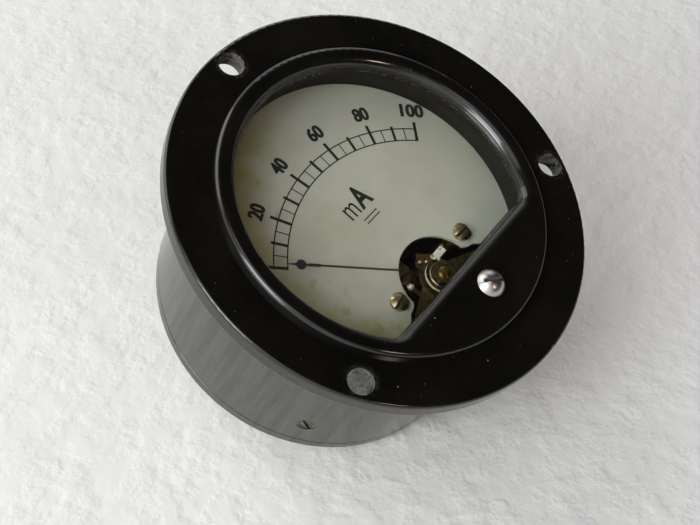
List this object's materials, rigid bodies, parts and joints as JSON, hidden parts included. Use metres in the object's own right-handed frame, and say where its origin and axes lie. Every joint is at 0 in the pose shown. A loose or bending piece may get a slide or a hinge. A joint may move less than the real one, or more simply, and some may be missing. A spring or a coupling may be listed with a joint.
{
  "type": "analog panel meter",
  "caption": "Round flush-mounting moving-coil panel meter with a flanged phenolic case, a D-shaped window, a front zero adjuster and rear terminal studs.",
  "frame": {"origin": "centre of the flange's rear face, on the barrel's axis, where the meter seats on its panel", "axes": "+Z out of the dial along the barrel, +Y towards 12 o'clock on the dial, +X to the reader's right"},
  "size_m": [0.065, 0.065, 0.0479],
  "materials": {
    "phenolic": "gloss",
    "glass": "clear",
    "fibre": "matt",
    "chrome": "polished",
    "nickel": "plated",
    "brass": "satin",
    "spring_steel": "satin",
    "magnet": "ground",
    "soft_iron": "plated",
    "dial_paint": "matt",
    "sapphire": "polished",
    "bronze": "satin",
    "aluminium": "satin",
    "copper_wire": "enamelled",
    "black_paint": "matt",
    "card": "matt",
    "wire_cover": "matt"
  },
  "bodies": {
    "case": {"front_case": "phenolic", "window_glass": "glass", "glass_retainer": "fibre", "rear_base": "phenolic", "case_screws": "nickel", "terminal_stud_left": "brass", "terminal_stud_right": "brass", "solder_lugs": "nickel", "terminal_washers": "brass", "terminal_clamp_nuts": "brass", "terminal_wire_nuts": "brass", "horseshoe_magnet": "magnet", "pole_piece_left": "soft_iron", "pole_piece_right": "soft_iron", "magnet_screws": "spring_steel", "core": "soft_iron", "core_bracket": "brass", "core_screw": "brass", "bracket_screws": "nickel", "movement_pillars": "brass", "movement_screws": "nickel", "dial_pillars": "brass", "dial_plate": "dial_paint", "dial_screws": "brass", "upper_bridge": "brass", "upper_bridge_pillars": "brass", "upper_bridge_screws": "nickel", "upper_jewel_screw": "brass", "upper_jewel_nut": "nickel", "upper_jewel": "sapphire", "lower_bridge": "brass", "lower_bridge_pillars": "brass", "lower_bridge_screws": "nickel", "lower_jewel_screw": "brass", "lower_jewel_nut": "nickel", "lower_jewel": "sapphire", "lower_hairspring": "bronze", "lower_spring_anchor": "nickel", "shunt_bobbin": "card", "shunt_winding": "copper_wire", "shunt_leads": "copper_wire", "movement_leads": "wire_cover"},
    "adjuster": {"zero_adjuster": "chrome", "adjuster_clip": "spring_steel"},
    "lever": {"zero_lever": "nickel", "upper_hairspring": "bronze"},
    "moving_coil": {"coil_former": "aluminium", "coil_winding": "copper_wire", "upper_pivot": "spring_steel", "lower_pivot": "spring_steel", "pointer": "black_paint", "balance_cross": "brass", "balance_weights": "nickel"}
  },
  "joints": [
    {"name": "zero_adjust", "type": "hinge", "parent": "case", "child": "adjuster", "pos_m": [0, -0.01965, 0.0044], "axis": [0, 0, 1], "range_deg": [-35, 35]},
    {"name": "zero_shift", "type": "hinge", "parent": "case", "child": "lever", "pos_m": [0, -0.0137, -0.0029], "axis": [0, 0, 1], "range_deg": [-5, 5]},
    {"name": "pointer_swing", "type": "hinge", "parent": "lever", "child": "moving_coil", "pos_m": [0, -0.0137, -0.007], "axis": [0, 0, -1], "range_deg": [-3, 92], "stiffness_Nm_per_rad": 0.00002}
  ],
  "couplings": [
    {"joint": "zero_shift", "follows": "zero_adjust", "ratio": 0.1295}
  ]
}
